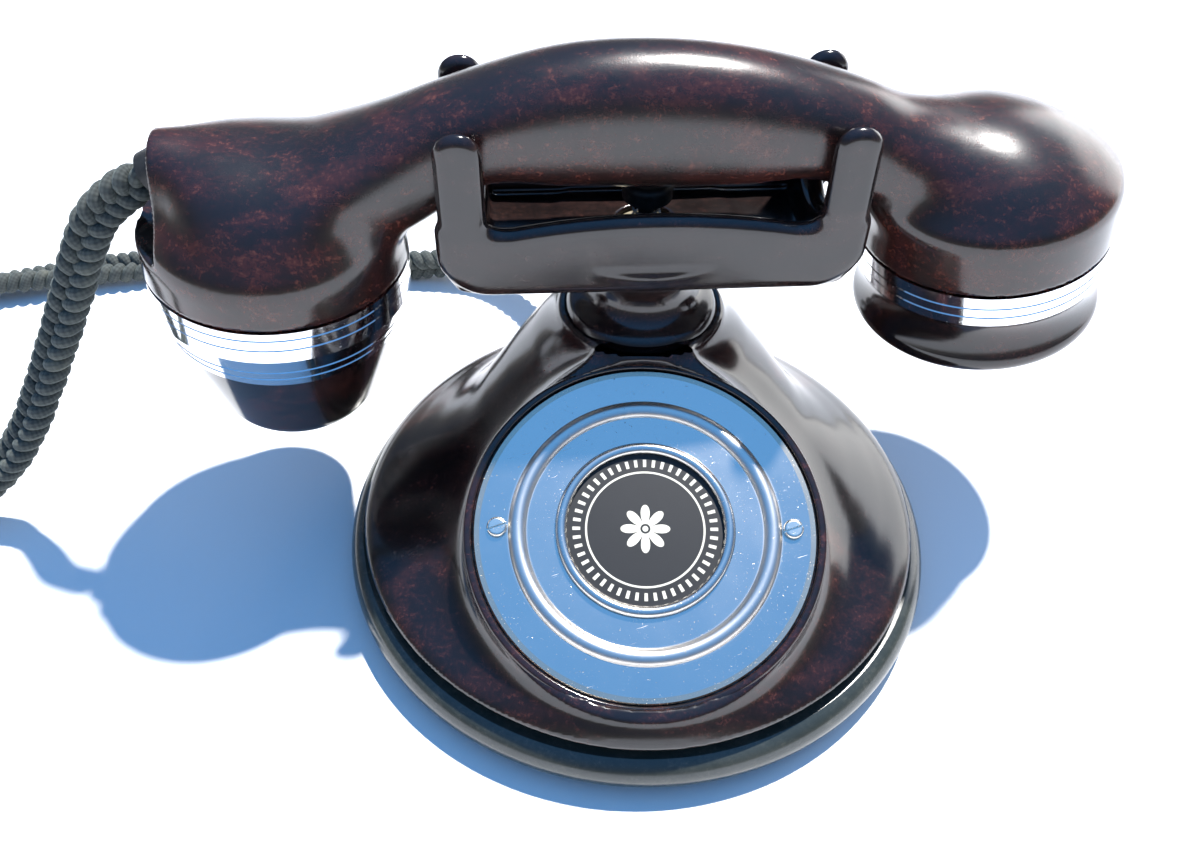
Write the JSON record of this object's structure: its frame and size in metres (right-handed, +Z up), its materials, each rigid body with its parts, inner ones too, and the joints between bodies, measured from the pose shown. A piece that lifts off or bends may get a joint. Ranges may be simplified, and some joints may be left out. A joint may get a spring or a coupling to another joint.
{
  "type": "desk telephone",
  "caption": "Desk telephone: round moulded body with a blanked dial mount, horned cradle with a sprung hook-switch plunger, and a handset on a braided cord.",
  "frame": {"origin": "centre of the round base on the table", "axes": "+Z up, +X from the transmitter towards the receiver, the dial mount faces -Y"},
  "size_m": [0.3994, 0.1953, 0.1271],
  "materials": {
    "moulding": "polished dark brown phenolic moulding with faint red mottling",
    "cradle_moulding": "polished near-black phenolic moulding",
    "base_gloss": "polished near-black ring",
    "bright_plate": "polished plate with fine scratches and pits",
    "bright_band": "polished plated band",
    "bright_screw": "plated slotted screw",
    "card": null,
    "steel": "zinc-plated sheet and screws",
    "contact_metal": "nickel silver spring stock",
    "copper": "enamelled copper winding",
    "insulator": "pressed insulating board",
    "rubber": "matt black rubber",
    "magnet": "dark magnet steel",
    "capsule": "satin aluminium",
    "diaphragm": "lacquered iron disc",
    "wire": "rubber-covered wire",
    "cord_cloth": "charcoal three-strand braided cloth",
    "felt": "dark green felt"
  },
  "bodies": {
    "base": {"base_felt": "felt", "base_ring": "base_gloss", "base_pan": "steel", "pan_screws": "steel", "housing": "moulding", "housing_screws": "steel", "dial_blank_plate": "bright_plate", "card_ring": "bright_plate", "number_card": "card", "plate_strap": "steel", "plate_screws": "bright_screw", "cradle": "cradle_moulding", "cradle_stud": "steel", "cradle_washer": "steel", "cradle_nut": "steel", "plunger_spring": "steel", "hookswitch_frame": "steel", "frame_screws": "steel", "lever_pin": "steel", "contact_springs": "contact_metal", "contact_insulators": "insulator", "stack_screws": "steel", "terminal_block": "insulator", "terminal_screws": "steel", "base_leads": "wire", "cord_bushing": "rubber", "line_bushing": "rubber", "handset_cord": "cord_cloth"},
    "handset": {"handset_handle": "moulding", "transmitter_band": "bright_band", "mouthpiece": "cradle_moulding", "transmitter_capsule": "capsule", "transmitter_contacts": "contact_metal", "receiver_band": "bright_band", "receiver_cap": "cradle_moulding", "receiver_diaphragm": "diaphragm", "receiver_frame": "steel", "receiver_coils": "copper", "receiver_magnet": "magnet", "handset_leads": "wire", "cord_gland": "rubber"},
    "plunger": {"plunger": "cradle_moulding"},
    "lever": {"hookswitch_lever": "steel"}
  },
  "joints": [
    {"name": "handset_lift", "type": "slide", "parent": "base", "child": "handset", "axis": [0, 0, 1], "range_m": [0, 0.08], "deforming": ["handset_cord"]},
    {"name": "plunger_slide", "type": "slide", "parent": "base", "child": "plunger", "axis": [0, 0, 1], "range_m": [0, 0.005], "stiffness_N_per_m": 60, "springref_m": 0.007, "deforming": ["plunger_spring"]},
    {"name": "lever_hinge", "type": "hinge", "parent": "base", "child": "lever", "pos_m": [0, 0.0463, 0.033], "axis": [-1, 0, 0], "range_deg": [0, 19]}
  ],
  "couplings": [
    {"joint": "plunger_slide", "follows": "handset_lift", "ratio": 0.0625},
    {"joint": "lever_hinge", "follows": "handset_lift", "rad_per_m": 4.125}
  ]
}
